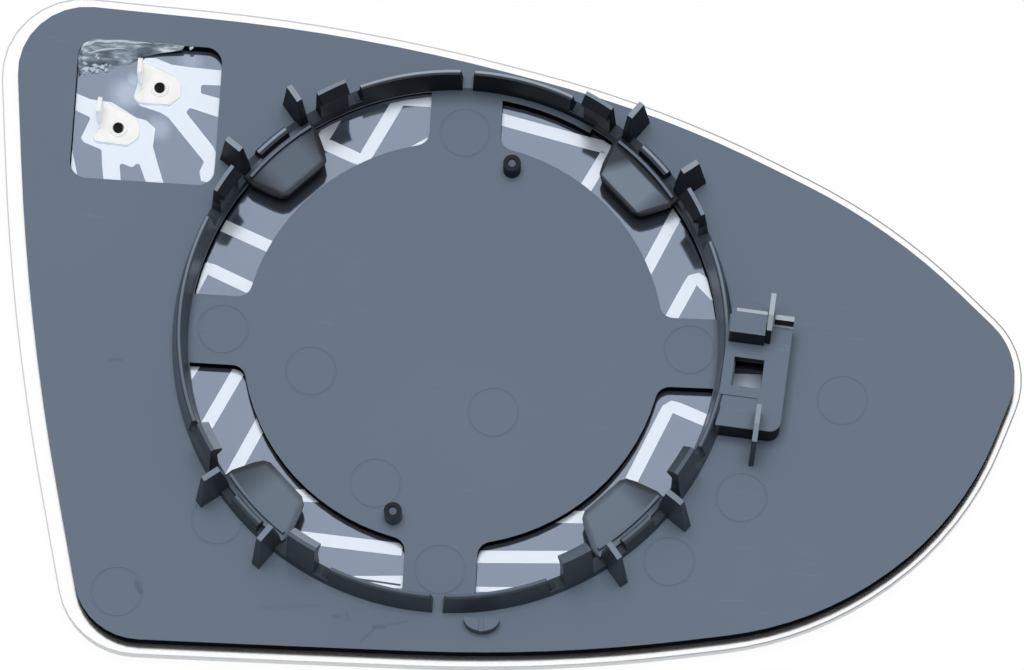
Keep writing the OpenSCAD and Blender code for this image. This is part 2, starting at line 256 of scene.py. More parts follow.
# Tones, and sizes in metres; the pairs of the block's middle and the pins are in mm
plate = {
    "level": 115, "cloudSize": 38 * mm, "cloudShare": 9, "patchSize": 7 * mm,
    "scuffSize": 2.2 * mm, "scuffShare": 8, "grain": 0.5 * mm, "grainDepth": 0.012 * mm,
    "edgeRound": 0.12 * mm, "roughness": 0.42, "wallRoughness": 0.3, "flapRoughness": 0.22,
    "markDepth": 0.1 * mm, "aboveBack": 1 * mm,
    "ringRadius": 48.1 * mm, "ringMiddle": 47 * mm, "ringHalf": 2 * mm, "ringTop": 7.2 * mm,
    "rimRadius": 47.65 * mm, "rimHalf": 0.8 * mm, "rimHeight": 6.25 * mm,
    "rimSpread": 1.2 * mm, "highlightWidth": 0.45 * mm,
    "sillRadius": 47.9 * mm, "sillHalf": 1.5 * mm, "sillHeight": 2.6 * mm,
    "sillSpread": 0.8 * mm, "sillShade": 60,
    "shadeStart": 46.6 * mm, "shadeEnd": 46.9 * mm, "shadeWidth": 1.6 * mm,
    "shadeMore": 2.4 * mm, "shadeShare": 0.42,
    "flapRadius": 42.8 * mm, "flapHalf": 4.6 * mm, "flapHeight": 3.6 * mm,
    "flapSpread": 0.3 * mm, "flapInner": 38.7 * mm,
    "highStart": 7.5 * mm, "topHeight": 13.7 * mm, "hookHeight": 14.2 * mm,
    "leadSlope": 0.6, "leadSpread": 0.2, "leadLeft": 158,
    "bracketX": 47.0 * mm, "bracketHalf": 16 * mm, "bracketGap": 0.12 * mm,
    "bracketWallShade": 17, "bladeTone": 152,
    "blockMiddle": (53, -5), "blockTurn": 5, "farEdgeX": 49 * mm, "farEdgeUp": 8.8 * mm,
    "farEdgeAbove": 2 * mm, "farEdgeHighlight": 180,
    "pins": [(8.62, 32.17), (-8.62, -32.17)], "pinRadius": 1.7 * mm, "pinTone": 20,
    "dimpleRadius": 0.65 * mm, "dimpleTone": 95,
    "shadedEdge": srgb(18, 22, 28), "litEdge": srgb(112, 117, 126)}

# Smudges on the plate: both ends and width in mm, and how much darker they are
smudges = [(-59.7, -6.8, -57.8, -6.6, 0.6, 12), (-52.2, -46.6, -51.3, -48.3, 0.7, 20),
           (-10.8, -52.2, -9.1, -52.1, 0.6, 18), (-12.9, -54.9, -10.6, -52.4, 0.4, 12),
           (-8.5, -51.7, -4.9, -50.8, 0.4, 10), (-17.9, -50.7, -17.0, -50.7, 0.6, 12),
           (-15.6, -50.1, -15.2, -51.3, 0.4, 10), (-30.5, -49.8, -20.8, -48.9, 0.7, 5)]


def smudged(p, x, y):
    # Darkening by all the smudges, each a short soft stroke
    total = 0
    for ax, ay, bx, by, width, share in smudges:
        long = math.hypot(bx - ax, by - ay)
        ux, uy = (bx - ax) / long, (by - ay) / long
        along = (x - ax * mm) * ux + (y - ay * mm) * uy
        aside = (y - ay * mm) * ux - (x - ax * mm) * uy
        past = abs(along - long / 2 * mm) - long / 2 * mm
        away = (past.calc("MAXIMUM", past, 0) ** 2 + aside ** 2) ** 0.5
        total = total + (1 - p.ease(away, 0, width * mm)) * share
    return total


def flapShading(p, right, top, ax, ay):
    # The flaps are lighter in the middle and dark along their edges, each in its own way: painted
    # shade and reflection of the fins, hooks and ring wall
    out = (ax + ay) / math.sqrt(2) - plate["flapInner"]
    along = (ax - ay) / math.sqrt(2)
    edge = 5.0 * mm + out * 0.45 - abs(along)
    middle = p.ease(out.calc("MINIMUM", out, edge), 0.3 * mm, 1.3 * mm)
    inner = edge.calc("MINIMUM", edge, 6.5 * mm - out)
    sharp = p.ease(out.calc("MINIMUM", out, inner), 0.3 * mm, 0.8 * mm)
    shadowTop = 1 - p.ease(out * 0.5 - along, 4.5 * mm, 7.5 * mm) * 0.75
    shadowSide = 1 - p.ease(along, 3 * mm, 6.5 * mm) * 0.5
    upperRight = 32 + sharp * shadowTop * shadowSide * 96
    upperLeft = 50 + middle * 50 - p.ease(abs(along), 2.5 * mm, 7 * mm) * 44
    lowerLeft = 84 + middle * 30 - p.ease(along, 0, 6 * mm) * 44
    lowerRight = 80 + middle * 36 - p.ease(along, 2 * mm, 6 * mm) * 44
    upper = upperLeft.to(upperRight, right > 0)
    lower = lowerLeft.to(lowerRight, right > 0)
    return lower.to(upper, top > 0)


def ringShade(p, reach, top):
    # Inside the ring its wall shades the plate, more towards the top
    width = plate["shadeWidth"] + p.ease(top, 0.3, 0.9) * plate["shadeMore"]
    shade = p.ease(reach - plate["shadeStart"] + width, 0, width) * (reach < plate["shadeEnd"])
    return shade * (0.55 + top * 0.45) * plate["shadeShare"]


def rimHighlight(p, reach, top):
    # The ring's rim is painted dark with a thin painted highlight line, which lies towards its far
    # side
    across = (reach - plate["rimRadius"]) / plate["highlightWidth"]
    soft = abs(top) * 0.15
    line = 1 - p.ease(abs(across - top * 0.6), 0.2 + soft, 0.8 + soft)
    return 48 + line * (70 + abs(top) * 15 + top * 35)


def platePlastic():
    p = Paint("plateMoulding")
    x, y, z = p.axes()
    up = p.axes(p.facing)[2]
    reach2 = x * x + y * y
    reach = reach2 ** 0.5
    depth = reach2 / (2 * curveRadius) - z  # below the curved back face
    onBack = depth.near(0, plate["markDepth"])
    raised = depth < -plate["aboveBack"]
    right = x / plate["ringRadius"]
    top = y / plate["ringRadius"]
    bracket = (x > plate["bracketX"]) * (abs(y) < plate["bracketHalf"])
    bracket = bracket * (reach > plate["ringRadius"] + plate["bracketGap"])
    free = 1 - bracket
    high = (z > plate["highStart"]) * free
    level = p.ease(up, 0.5, 0.8).to(up > 0.97, high)
    leadIn = high * up.near(plate["leadSlope"], plate["leadSpread"]) * (top < 0)
    wall = (1 - level) * (1 - onBack * 0.75) * (1 - leadIn)
    cut = (1 - level) * (depth > plate["markDepth"])

    cloud = p.noise(plate["cloudSize"], 3)
    patch = p.noise(plate["patchSize"], 2)
    fine = p.noise(plate["grain"], 2, 0.6)
    scuff = p.noise(plate["scuffSize"], 4, 0.7, p.stretched(0.22, 1.6, 1))
    worn = p.ease(scuff, 0.6, 0.76) * p.ease(cloud, 0.45, 0.6)

    tone = plate["level"] + (cloud - 0.5) * plate["cloudShare"] + worn * plate["scuffShare"]
    # Painted shade: side faces are dark, the far ones darkest; painted light makes the ring's wall
    # lighter at its sides
    inWall = (z < plate["ringTop"]) * reach.near(plate["ringMiddle"], plate["ringHalf"])
    beside = (1 - p.ease(abs(top), 0.25, 0.75)) * inWall
    wallShade = 40 - top * 15 + (patch - 0.5) * 22
    outside = reach > plate["rimRadius"]
    wallShade = wallShade.to((102 + right * 24).to(92 - right * 8, outside), beside)
    tone = tone.to(wallShade.to(plate["bracketWallShade"], bracket), wall)
    # The sloped lead-ins of the lower hooks catch the light
    leadTone = (20 - top * 100).to(plate["leadLeft"], right < 0) + (patch - 0.5) * 40
    tone = tone.to(leadTone, leadIn)
    tone = tone * (1 - ringShade(p, reach, top) * onBack * level) - smudged(p, x, y) * onBack
    onRim = reach.near(plate["rimRadius"], plate["rimHalf"])
    onRim = onRim * z.near(plate["rimHeight"], plate["rimSpread"]) * free * level
    tone = tone.to(rimHighlight(p, reach, top), onRim)
    # Painted shade: the low sills on the ring are dark
    onSill = reach.near(plate["sillRadius"], plate["sillHalf"])
    onSill = onSill * z.near(plate["sillHeight"], plate["sillSpread"])
    tone = tone.to(plate["sillShade"], onSill * raised * free * level)
    onFlap = reach.near(plate["flapRadius"], plate["flapHalf"])
    onFlap = onFlap * z.near(plate["flapHeight"], plate["flapSpread"]) * level
    tone = tone.to(flapShading(p, right, top, abs(x), abs(y)), onFlap)
    # Painted light: the flat tops of the fins, the hooks and the bracket's blades, lighter on the
    # upper ones, and a painted highlight along the block's far edge
    isHook = z > plate["hookHeight"]
    litTops = (134 - isHook * 44).to(154 - isHook * 18, top > 0)
    litTops = litTops.to(plate["bladeTone"], bracket)
    tone = tone.to(litTops, level * (z > plate["topHeight"]))
    turn = math.radians(plate["blockTurn"])
    blockX, blockY = plate["blockMiddle"]
    blockUp = math.sin(turn) * (x - blockX * mm) + math.cos(turn) * (y - blockY * mm)
    farEdge = level * (x > plate["farEdgeX"]) * (blockUp > plate["farEdgeUp"])
    farEdge = farEdge * (depth < -plate["farEdgeAbove"]) * bracket
    tone = tone.to(plate["farEdgeHighlight"], farEdge)
    # Pins: dark on top round a light dimple
    for px, py in plate["pins"]:
        away = ((x - px * mm) ** 2 + (y - py * mm) ** 2) ** 0.5
        pinTone = (away < plate["dimpleRadius"]) * (plate["dimpleTone"] - plate["pinTone"])
        onPin = (away < plate["pinRadius"]) * raised * level
        tone = tone.to(pinTone + plate["pinTone"], onPin)

    base = p.add("ShaderNodeValToRGB", {"stops": [(at / 255, srgb(*c)) for at, c in greys]},
                 {0: tone / 255})
    rough = plate["roughness"] + (cloud - 0.5) * 0.12
    rough = rough.to(plate["wallRoughness"] + patch * 0.15, wall)
    rough = rough.to(plate["flapRoughness"], onFlap)
    grain = p.bump(fine, plate["grainDepth"], 0.5, p.bevel(plate["edgeRound"]))
    plastic = p.surface(Base_Color=base, Roughness=rough, Normal=grain, Specular_IOR_Level=0.3)
    # Painted shade: the sheet's cut edges, towards the glass and in the windows, and in part the
    # far side walls, are black and dull; painted light makes them paler low down in the upper left
    # window
    litLow = (x < 0) * p.ease(top, 0.5, 0.7) * p.ease(depth, 0.6 * mm, 1.4 * mm)
    litLow = litLow * (reach < plate["ringMiddle"])
    edge = p.mixed(litLow, p.dull(plate["shadedEdge"]), p.dull(plate["litEdge"]))
    farShade = p.ease(top.to(1, bracket), -0.2, 0.6) * (0.6 - beside * 0.3)
    return p.show(p.mixed(cut.calc("MAXIMUM", cut, farShade * wall), plastic, edge))


glass = {"back": srgb(255, 255, 255), "front": srgb(228, 233, 236), "side": srgb(242, 245, 246),
         "ground": srgb(208, 213, 216), "groundSpeck": srgb(192, 198, 202),
         "groundRight": srgb(138, 144, 148), "rightX": 70 * mm,
         "edgeWidth": 0.22, "edgeThick": 0.06, "edgeInset": 0.012, "edgeAngle": 1.0,
         "edgeFloor": -3.9, "weld": 0.002}


def mirrorCoat():
    # Bright metal behind, a duller ground side, and a sharp reflection on the mirror's face
    p = Paint("mirrorCoat")
    up = p.axes(p.facing)[2]
    side = abs(up) < 0.5
    front = up < -0.5
    cloud = p.noise(12 * mm, 2)
    tint = p.blend(front, p.blend(side, glass["back"], glass["side"]), glass["front"])
    metal = 0.96 - side * 0.81 + front * 0.04
    rough = (0.13 + cloud * 0.04 + side * 0.26) * (1 - front * 0.9)
    return p.show(p.surface(Base_Color=tint, Metallic=metal, Roughness=rough))


def groundGlass():
    p = Paint("groundGlassEdge")
    x = p.axes()[0]
    fine = p.noise(0.4 * mm, 2)
    tint = p.blend(fine * 0.5, glass["ground"], glass["groundSpeck"])
    tint = p.blend(p.ease(x, 0, glass["rightX"]) * 0.8, tint, glass["groundRight"])
    return p.show(p.surface(Base_Color=tint, Roughness=0.5 + fine * 0.2,
                            Normal=p.bump(fine, 0.01 * mm, 0.5)))


foil = {"colour": srgb(142, 154, 173), "cloudColour": srgb(131, 142, 160), "roughness": 0.06,
        "glare": srgb(196, 208, 230), "edge": srgb(18, 22, 28),
        "socket": srgb(160, 174, 188), "socketMiddle": (51.3, -4.3), "socketHalf": (2.9, 1.65)}

# Places, sizes and strengths of the soft light patches on the foil, in mm
foilGlare = [(-60.5, 43.2, 4.2, 0.65), (-59.3, 45.6, 2.2, 0.7), (-54.3, 37.2, 3.2, 0.45),
             (-66.6, 34.4, 1.6, 0.8), (-49.5, 49.9, 3.0, 0.35)]


def foilFilm():
    p = Paint("heaterFilm")
    x, y, _ = p.axes()
    cloud = p.noise(9 * mm, 3)
    ripple = p.noise(6 * mm, 2)
    curl = p.noise(3 * mm, 3)
    glare = 0
    for gx, gy, size, strength in foilGlare:
        away = ((x - gx * mm) ** 2 + (y - gy * mm) ** 2) ** 0.5
        spot = (1 - p.ease(away / (size * mm) + (curl - 0.5) * 0.4, 0.15, 1.0)) * strength
        glare = spot.calc("MAXIMUM", spot, glare)
    # Painted light: under the bracket's socket the film is a lighter, duller grey that shows no
    # reflection
    (midX, midY), (halfX, halfY) = foil["socketMiddle"], foil["socketHalf"]
    socket = x.near(midX * mm, halfX * mm) * y.near(midY * mm, halfY * mm)
    # Painted shade: the film's side faces are dark and dull
    side = abs(p.axes(p.facing)[2]) < 0.5
    tint = p.blend(cloud * 0.5, foil["colour"], foil["cloudColour"])
    tint = p.blend(glare, tint, foil["glare"])
    tint = p.blend(socket, tint, foil["socket"])
    film = p.surface(Base_Color=tint, Metallic=0.85 - glare * 0.3 - socket * 0.85,
                     Roughness=foil["roughness"] + cloud * 0.03 + socket * 0.5,
                     Normal=p.bump(ripple, 0.05 * mm, 0.3))
    return p.show(p.mixed(side, film, p.dull(foil["edge"])))


track = {"colour": srgb(229, 238, 250), "speck": srgb(212, 222, 238), "width": 2.25,
         "thinWidth": 0.9, "thick": 0.05, "padThick": 0.04, "lift": 0.02, "bend": 0.9,
         "padBend": 0.45, "bendSteps": 5, "padBendSteps": 4, "step": 1.0, "weld": 0.004,
         "roughness": 0.22, "metal": 0.55}
# The crease is a dark strip of painted shade on the film
crease = {"colour": srgb(84, 95, 108), "speck": srgb(60, 70, 82), "width": 0.35, "thick": 0.03,
          "lift": 0.065}


def trackInk(name, colours):
    p = Paint(name)
    speck = p.noise(0.8 * mm, 2)
    tint = p.blend(speck * 0.3, colours["colour"], colours["speck"])
    return p.show(p.surface(Base_Color=tint, Roughness=track["roughness"],
                            Metallic=track["metal"], Normal=p.bump(speck, 0.01 * mm, 0.3)))


tin = {"colour": srgb(246, 246, 246), "stain": srgb(238, 240, 233), "blade": srgb(250, 252, 253),
       "roughness": 0.3, "edgeRound": 0.15 * mm}


def tinPlate():
    # Bright tin, dirtier on its flats than on the upright blades
    p = Paint("tinnedSheet")
    up = p.axes(p.facing)[2]
    cloud = p.noise(2.2 * mm, 3)
    fine = p.noise(0.3 * mm, 2)
    tint = p.blend(p.ease(cloud, 0.4, 0.7) * 0.7, tin["colour"], tin["stain"])
    flat = p.ease(up, 0.6, 0.9)
    tint = p.blend(flat, tin["blade"], tint)
    return p.show(p.surface(Base_Color=tint, Metallic=0.9 - flat * 0.6,
                            Roughness=tin["roughness"] + cloud * 0.15,
                            Normal=p.bump(fine, 0.01 * mm, 0.4, p.bevel(tin["edgeRound"]))))


def dress(name, material):
    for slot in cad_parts[name].material_slots:
        slot.material = material


dress("back_plate", platePlastic())
dress("mirror_glass", mirrorCoat())
dress("heater_foil", foilFilm())
tinned = tinPlate()
dress("terminal_upper", tinned)
dress("terminal_lower", tinned)
print("materials assigned")


def treeOf(name):
    tree = bpy.data.node_groups.new(name, "GeometryNodeTree")
    tree.interface.new_socket("Geometry", in_out="INPUT", socket_type="NodeSocketGeometry")
    tree.interface.new_socket("Geometry", in_out="OUTPUT", socket_type="NodeSocketGeometry")
    return tree


def inlets(tree, wanted):
    # Named inputs; returns their identifiers by name
    kinds = {float: "NodeSocketFloat", int: "NodeSocketInt"}
    keys = {}
    for name, value in wanted.items():
        kind = kinds.get(type(value)) or "NodeSocket" + value
        socket = tree.interface.new_socket(name, in_out="INPUT", socket_type=kind)
        if type(value) in kinds:
            socket.default_value = value
        keys[name] = socket.identifier
    return keys


def geo(tree, kind, settings=None, values=None):
    node = tree.nodes.new(kind)
    for key, value in (settings or {}).items():
        setattr(node, key, value)
    for key, value in (values or {}).items():
        if hasattr(value, "is_output"):
            tree.links.new(value, node.inputs[key])
        else:
            node.inputs[key].default_value = value
    return node


ray = {"start": 20 * mm, "length": 100 * mm}


def onto(tree, target, lift):
    # Where each point comes to lie on the target's upper side, its own height kept,
    # and the normal there
    info = geo(tree, "GeometryNodeObjectInfo", {"transform_space": "RELATIVE"}, {"Object": target})
    place = tree.nodes.new("GeometryNodeInputPosition")
    parts = geo(tree, "ShaderNodeSeparateXYZ", {}, {0: place.outputs[0]})
    above = geo(tree, "ShaderNodeCombineXYZ", {},
                {"X": parts.outputs["X"], "Y": parts.outputs["Y"], "Z": ray["start"]})
    cast = geo(tree, "GeometryNodeRaycast", {},
               {"Target Geometry": info.outputs["Geometry"], "Source Position": above.outputs[0],
                "Ray Direction": (0, 0, -1), "Ray Length": ray["length"]})
    hit = geo(tree, "ShaderNodeSeparateXYZ", {}, {0: cast.outputs["Hit Position"]})
    first = geo(tree, "ShaderNodeMath", {"operation": "ADD"},
                {0: hit.outputs["Z"], 1: parts.outputs["Z"]})
    raised = geo(tree, "ShaderNodeMath", {"operation": "ADD"}, {0: first.outputs[0], 1: lift})
    final = geo(tree, "ShaderNodeCombineXYZ", {},
                {"X": parts.outputs["X"], "Y": parts.outputs["Y"], "Z": raised.outputs[0]})
    return final.outputs[0], cast.outputs["Hit Normal"]


def close(tree, geometry, material, smooth=False):
    # Shaded, realised and with its material, to the tree's end
    flat = geo(tree, "GeometryNodeSetShadeSmooth", {}, {0: geometry, "Shade Smooth": smooth})
    real = geo(tree, "GeometryNodeRealizeInstances", {}, {"Geometry": flat.outputs[0]})
    dressed = geo(tree, "GeometryNodeSetMaterial", {},
                  {"Geometry": real.outputs[0], "Material": material})
    tree.links.new(dressed.outputs[0], tree.nodes.new("NodeGroupOutput").inputs[0])


def linesMesh(name, lines, closed=False):
    # Points in mm, with or without a height, joined by edges along each line
    points, edges = [], []
    for line in lines:
        start = len(points)
        points += [(p[0] * mm, p[1] * mm, (p[2] if len(p) > 2 else 0) * mm) for p in line]
        edges += [(start + i, start + i + 1) for i in range(len(line) - 1)]
        if closed:
            edges.append((start + len(line) - 1, start))
    mesh = bpy.data.meshes.new(name)
    mesh.from_pydata(points, edges, [])
    return added(name, mesh)


def keep(name, mesh):
    # The finished mesh as a piece on the root body
    piece = added(name, mesh)
    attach(piece, "root")
    print(name, len(mesh.polygons), "faces")


def bake(name, plan, tree, keys, values):
    # Runs the tree on the plan and keeps the result as a plain mesh
    modifier = plan.modifiers.new(name, "NODES")
    modifier.node_group = tree
    for key, value in values.items():
        modifier[keys[key]] = value
    shown = plan.evaluated_get(bpy.context.evaluated_depsgraph_get())
    mesh = bpy.data.meshes.new_from_object(shown)
    mesh.name = name
    bpy.data.objects.remove(plan)
    keep(name, mesh)


# Middle lines of the printed heater tracks in the ring's windows, in mm
trackLines = [
    [(-5, 45), (-12, 45), (-17.9, 33.2), (-25.5, 36.3), (-22, 43.5)],
    [(-47, 22), (-33.1, 16.4), (-30, 15)],
    [(-48, 4), (-44.4, 12.1), (-35.6, 8.4), (-31, 6.5)],
    [(-36, -4), (-42.1, -16.8), (-44, -20.5)],
    [(-48, -11.5), (-44.2, -4)],
    [(-31, -12), (-36.7, -24.6), (-38, -27.5)],
    [(-27, -28.7), (-18, -28.4)],
    [(-27, -36), (-6.8, -37.4)],
    [(-16, -43.8), (-3, -43)],
    [(-9.6, 35.0), (-5.5, 37.6)],
    [(4, -38.1), (24, -37.2)],
    [(18, -30.1), (27, -29.9)],
    [(45.5, -11.7), (38.4, -8.9), (32.3, -22.9)],
    [(3, 43), (20.9, 38.8), (27, 37.5)],
    [(20.5, 27.8), (25.2, 36.8)],
    [(32, 13), (38.4, 27)],
    [(36.5, 4), (41.8, 15.1), (46, 11)],
]

# The thin track and the crease, a dark strip of painted shade, in the lowest window, in mm
thinLines = [[(3.5, -43.95), (9, -43.75), (15, -43.5)]]
creaseLines = [[(-15.5, -43.0), (-11, -43.4), (-6.7, -43.8)]]

# Outlines of the printed pads under the terminals, in mm
padOutlines = [
    [(-59.1, 42.8), (-58.7, 41.7), (-57.9, 41), (-54.3, 40), (-52.8, 39.2), (-45.9, 31.4),
     (-46.6, 29.5), (-46.2, 27.8), (-44.8, 27.6), (-44, 29.2), (-43.9, 33.2), (-44.5, 34.3),
     (-49.7, 40.3), (-49.1, 41.2), (-42.2, 39.3), (-42.2, 42.9), (-47.3, 44), (-47.4, 45.6),
     (-42.2, 45.7), (-42.2, 48.4), (-49.5, 48.7), (-52.9, 49), (-55.7, 50), (-57.5, 49.9),
     (-58.4, 48.8), (-58.4, 45.9)],
    [(-71.2, 43.2), (-71.2, 40.2), (-66.4, 38.2), (-67.9, 34.3), (-67.3, 33.6), (-64.1, 32.4),
     (-63.8, 29.6), (-63, 24.6), (-60, 24.6), (-60.8, 30.3), (-58.5, 29.5), (-57.4, 30.6),
     (-54.9, 24.6), (-51.9, 24.6), (-53.9, 30.1), (-55.1, 33.6), (-54.9, 37), (-56.7, 38.4),
     (-58.3, 38.7), (-62.9, 41.3), (-66.7, 41.6)],
    [(-70.7, 32.1), (-69.4, 32.5), (-68.1, 27.7), (-68.2, 24.7), (-70.3, 24.6)],
]


def makeTracks(name, lines, width, thick, lift, material):
    # The lines rounded at their corners, swept to flat strips and laid on the film
    tree = treeOf(name)
    keys = inlets(tree, {"Width": width * mm, "Thickness": thick * mm,
                         "Bend": track["bend"] * mm, "Lift": lift * mm,
                         "Foil": "Object", "Ink": "Material"})
    source = tree.nodes.new("NodeGroupInput").outputs
    curves = geo(tree, "GeometryNodeMeshToCurve", {}, {"Mesh": source["Geometry"]})
    bent = geo(tree, "GeometryNodeFilletCurve", {"mode": "POLY"},
               {"Curve": curves.outputs[0], "Count": track["bendSteps"], "Radius": source["Bend"],
                "Limit Radius": True})
    even = geo(tree, "GeometryNodeResampleCurve", {"mode": "LENGTH"},
               {"Curve": bent.outputs[0], "Length": track["step"] * mm})
    strip = geo(tree, "GeometryNodeCurvePrimitiveQuadrilateral", {"mode": "RECTANGLE"},
                {"Width": source["Width"], "Height": source["Thickness"]})
    swept = geo(tree, "GeometryNodeCurveToMesh", {},
                {"Curve": even.outputs[0], "Profile Curve": strip.outputs[0], "Fill Caps": True})
    half = geo(tree, "ShaderNodeMath", {"operation": "MULTIPLY_ADD"},
               {0: source["Thickness"], 1: 0.5, 2: source["Lift"]})
    place, _ = onto(tree, source["Foil"], half.outputs[0])
    laid = geo(tree, "GeometryNodeSetPosition", {},
               {"Geometry": swept.outputs[0], "Position": place})
    close(tree, laid.outputs[0], source["Ink"])
    bake(name, linesMesh(name + "Plan", lines), tree, keys,
         {"Foil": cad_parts["heater_foil"], "Ink": material})


def makePads(material):
    # The outlines filled, raised to a thin solid and laid on the film
    tree = treeOf("printedPads")
    keys = inlets(tree, {"Thickness": track["padThick"] * mm, "Bend": track["padBend"] * mm,
                         "Lift": track["lift"] * mm, "Foil": "Object", "Ink": "Material"})
    source = tree.nodes.new("NodeGroupInput").outputs
    loops = geo(tree, "GeometryNodeMeshToCurve", {}, {"Mesh": source["Geometry"]})
    bent = geo(tree, "GeometryNodeFilletCurve", {"mode": "POLY"},
               {"Curve": loops.outputs[0], "Count": track["padBendSteps"],
                "Radius": source["Bend"], "Limit Radius": True})
    filled = geo(tree, "GeometryNodeFillCurve", {"mode": "NGONS"}, {"Curve": bent.outputs[0]})
    rise = geo(tree, "ShaderNodeCombineXYZ", {}, {"Z": source["Thickness"]})
    raised = geo(tree, "GeometryNodeExtrudeMesh", {"mode": "FACES"},
                 {"Mesh": filled.outputs[0], "Offset": rise.outputs[0], "Offset Scale": 1.0,
                  "Individual": False})
    base = geo(tree, "GeometryNodeFlipFaces", {}, {"Mesh": filled.outputs[0]})
    both = geo(tree, "GeometryNodeJoinGeometry")
    tree.links.new(base.outputs[0], both.inputs[0])
    tree.links.new(raised.outputs[0], both.inputs[0])
    merged = geo(tree, "GeometryNodeMergeByDistance", {},
                 {"Geometry": both.outputs[0], "Distance": track["weld"] * mm})
    place, _ = onto(tree, source["Foil"], source["Lift"])
    laid = geo(tree, "GeometryNodeSetPosition", {},
               {"Geometry": merged.outputs[0], "Position": place})
    close(tree, laid.outputs[0], source["Ink"])
    bake("heater_pads", linesMesh("padPlan", padOutlines, closed=True), tree, keys,
         {"Foil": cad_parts["heater_foil"], "Ink": material})


rivet = {"places": [(-54.6, 44.3), (-61.4, 36.4)], "radius": 0.86, "height": 0.5, "dish": 0.2,
         "dishShare": 0.72, "lift": 0.06, "sides": 28,
         "black": srgb(8, 9, 11), "shadeSpeck": srgb(20, 22, 25)}


# Painted shade: the near-black of the eyelets' hollows, with slightly lighter specks
def eyeletShade():
    p = Paint("rivetShade")
    cloud = p.noise(0.7 * mm, 2)
    tint = p.blend(cloud, rivet["black"], rivet["shadeSpeck"])
    return p.show(p.surface(Base_Color=tint, Roughness=0.5 + cloud * 0.2,
                            Specular_IOR_Level=0.2))


def makeRivets():
    # Dished cores that fill the terminals' eyelets, black as painted shade in their hollows
    tree = treeOf("rivetCores")
    keys = inlets(tree, {"Radius": rivet["radius"] * mm, "Height": rivet["height"] * mm,
                         "Dish": -rivet["dish"] * mm, "Dish share": rivet["dishShare"],
                         "Lift": rivet["lift"] * mm, "Foil": "Object", "Black": "Material"})
    source = tree.nodes.new("NodeGroupInput").outputs
    core = geo(tree, "GeometryNodeMeshCylinder", {"fill_type": "NGON"},
               {"Vertices": rivet["sides"], "Radius": source["Radius"], "Depth": source["Height"]})
    inner = geo(tree, "GeometryNodeExtrudeMesh", {"mode": "FACES"},
                {"Mesh": core.outputs["Mesh"], "Selection": core.outputs["Top"],
                 "Offset Scale": 0.0})
    shrunk = geo(tree, "GeometryNodeScaleElements", {"domain": "FACE"},
                 {"Geometry": inner.outputs["Mesh"], "Selection": inner.outputs["Top"],
                  "Scale": source["Dish share"]})
    dished = geo(tree, "GeometryNodeExtrudeMesh", {"mode": "FACES"},
                 {"Mesh": shrunk.outputs[0], "Selection": inner.outputs["Top"],
                  "Offset Scale": source["Dish"]})
    half = geo(tree, "ShaderNodeMath", {"operation": "MULTIPLY_ADD"},
               {0: source["Height"], 1: 0.5, 2: source["Lift"]})
    place, normal = onto(tree, source["Foil"], half.outputs[0])
    seated = geo(tree, "GeometryNodeSetPosition", {},
                 {"Geometry": source["Geometry"], "Position": place})
    turn = geo(tree, "FunctionNodeAlignRotationToVector", {"axis": "Z"}, {"Vector": normal})
    cores = geo(tree, "GeometryNodeInstanceOnPoints", {},
                {"Points": seated.outputs[0], "Instance": dished.outputs["Mesh"],
                 "Rotation": turn.outputs[0]})
    close(tree, cores.outputs[0], source["Black"])
    bake("rivet_cores", linesMesh("rivetPlan", [[p] for p in rivet["places"]]), tree, keys,
         {"Foil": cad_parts["heater_foil"], "Black": eyeletShade()})


